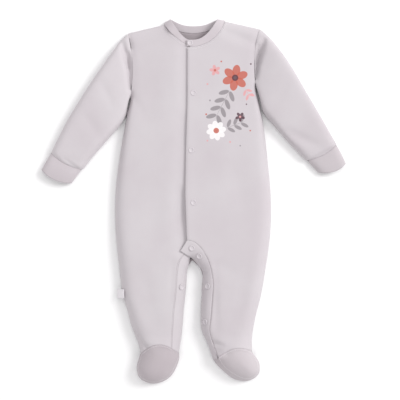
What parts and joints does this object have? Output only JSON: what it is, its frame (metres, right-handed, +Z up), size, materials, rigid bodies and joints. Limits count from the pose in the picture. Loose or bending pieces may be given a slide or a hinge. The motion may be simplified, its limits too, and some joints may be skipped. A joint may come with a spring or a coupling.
{
  "type": "footed baby sleepsuit",
  "caption": "Long-sleeved footed baby sleepsuit laid flat on its back, snapped down the front and along the inner legs.",
  "frame": {"origin": "on the surface under the middle of the laid-out garment", "axes": "+X towards the wearer's left, +Y from the toes to the neck, +Z up from the surface that the back lies on"},
  "size_m": [0.4862, 0.5821, 0.0324],
  "materials": {
    "jersey": "soft matt brushed cotton jersey",
    "band_jersey": "matt fine rib jersey, doubled",
    "snap": "pearly lacquered ring",
    "label_tape": "smooth woven tape"
  },
  "bodies": {
    "root": {"front_right": "jersey", "front_left": "jersey", "inseam_band_left": "jersey", "inseam_band_right": "jersey", "back": "jersey", "sleeve_right": "jersey", "sleeve_left": "jersey", "cuff_right": "band_jersey", "cuff_left": "band_jersey", "neckband": "band_jersey", "foot_cap_right": "jersey", "sole_right": "jersey", "foot_cap_left": "jersey", "sole_left": "jersey", "snap_neck": "snap", "snap_front_1": "snap", "snap_front_2": "snap", "snap_front_3": "snap", "snap_crotch_1": "snap", "snap_crotch_2": "snap", "snap_leg_left_1": "snap", "snap_leg_left_2": "snap", "snap_leg_right": "snap", "side_label": "label_tape"}
  },
  "joints": []
}
